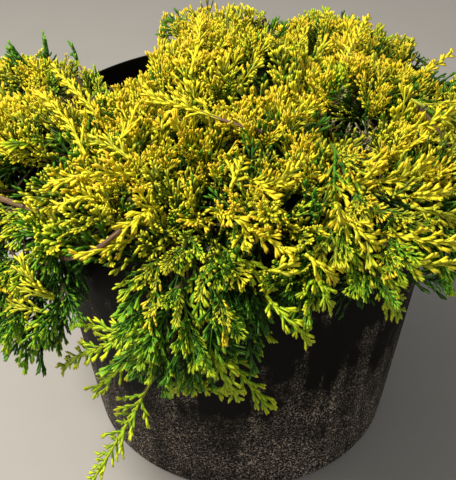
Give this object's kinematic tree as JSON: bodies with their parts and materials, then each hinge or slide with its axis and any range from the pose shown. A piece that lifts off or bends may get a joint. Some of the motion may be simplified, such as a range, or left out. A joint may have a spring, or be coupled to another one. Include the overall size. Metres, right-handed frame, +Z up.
{
  "type": "potted golden juniper",
  "caption": "Low golden juniper with a spreading, drooping crown of scale-leaved sprays in a round black plastic nursery pot",
  "frame": {"origin": "middle of the pot's flat underside", "axes": "+Z up along the pot's axis; -Y towards the viewer of the source picture, +X to that viewer's right"},
  "size_m": [0.3192, 0.3165, 0.237],
  "materials": {
    "pot_plastic": "black plastic, scuffed and dusty",
    "potting_soil": "dark crumbly potting soil",
    "bark": "brown flaking bark",
    "foliage": "golden yellow and green scale leaves"
  },
  "bodies": {
    "root": {"bough_crown_1": "bark", "bough_crown_2": "bark", "bough_crown_3": "bark", "bough_crown_4": "bark", "bough_crown_5": "bark", "bough_crown_6": "bark", "bough_shoulder_1": "bark", "bough_shoulder_2": "bark", "bough_shoulder_3": "bark", "bough_shoulder_4": "bark", "bough_shoulder_5": "bark", "bough_shoulder_6": "bark", "bough_shoulder_7": "bark", "bough_shoulder_8": "bark", "bough_shoulder_9": "bark", "bough_skirt_1": "bark", "bough_skirt_2": "bark", "bough_skirt_3": "bark", "bough_skirt_4": "bark", "bough_skirt_5": "bark", "bough_skirt_6": "bark", "bough_skirt_7": "bark", "bough_skirt_8": "bark", "bough_skirt_9": "bark", "foliage_crest": "foliage", "foliage_crown_1": "foliage", "foliage_crown_2": "foliage", "foliage_crown_3": "foliage", "foliage_crown_4": "foliage", "foliage_crown_5": "foliage", "foliage_crown_6": "foliage", "foliage_shoulder_1": "foliage", "foliage_shoulder_2": "foliage", "foliage_shoulder_3": "foliage", "foliage_shoulder_4": "foliage", "foliage_shoulder_5": "foliage", "foliage_shoulder_6": "foliage", "foliage_shoulder_7": "foliage", "foliage_shoulder_8": "foliage", "foliage_shoulder_9": "foliage", "foliage_skirt_1": "foliage", "foliage_skirt_2": "foliage", "foliage_skirt_3": "foliage", "foliage_skirt_4": "foliage", "foliage_skirt_5": "foliage", "foliage_skirt_6": "foliage", "foliage_skirt_7": "foliage", "foliage_skirt_8": "foliage", "foliage_skirt_9": "foliage", "pot": "pot_plastic", "soil": "potting_soil", "trunk": "bark"}
  },
  "joints": []
}
